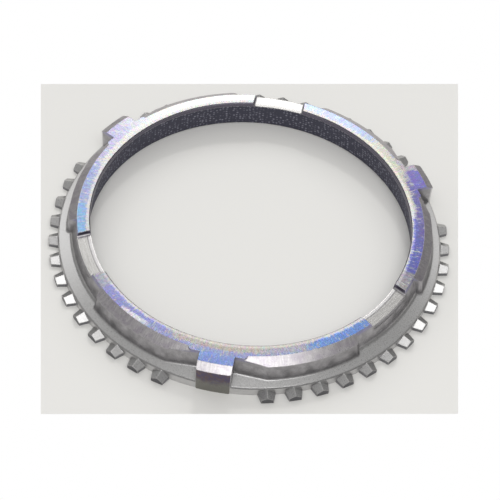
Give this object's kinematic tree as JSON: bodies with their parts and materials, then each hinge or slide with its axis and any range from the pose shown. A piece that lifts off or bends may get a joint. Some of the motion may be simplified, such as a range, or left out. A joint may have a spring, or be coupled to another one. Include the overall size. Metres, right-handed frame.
{
  "type": "synchronizer ring",
  "caption": "Steel gearbox synchronizer ring with pointed dog teeth, index lugs, rim recesses and a dark friction lining bonded in its tapered bore.",
  "frame": {"origin": "on the ring's axis, in the plane of the large back face", "axes": "+Z along the ring's axis, from the large back face to the small end; one index lug points along -Y"},
  "size_m": [0.1224, 0.1207, 0.0102],
  "materials": {
    "steel": "brushed, with heat tint",
    "lining": "matt woven friction material"
  },
  "bodies": {
    "root": {"ring_body": "steel", "friction_lining": "lining"}
  },
  "joints": []
}
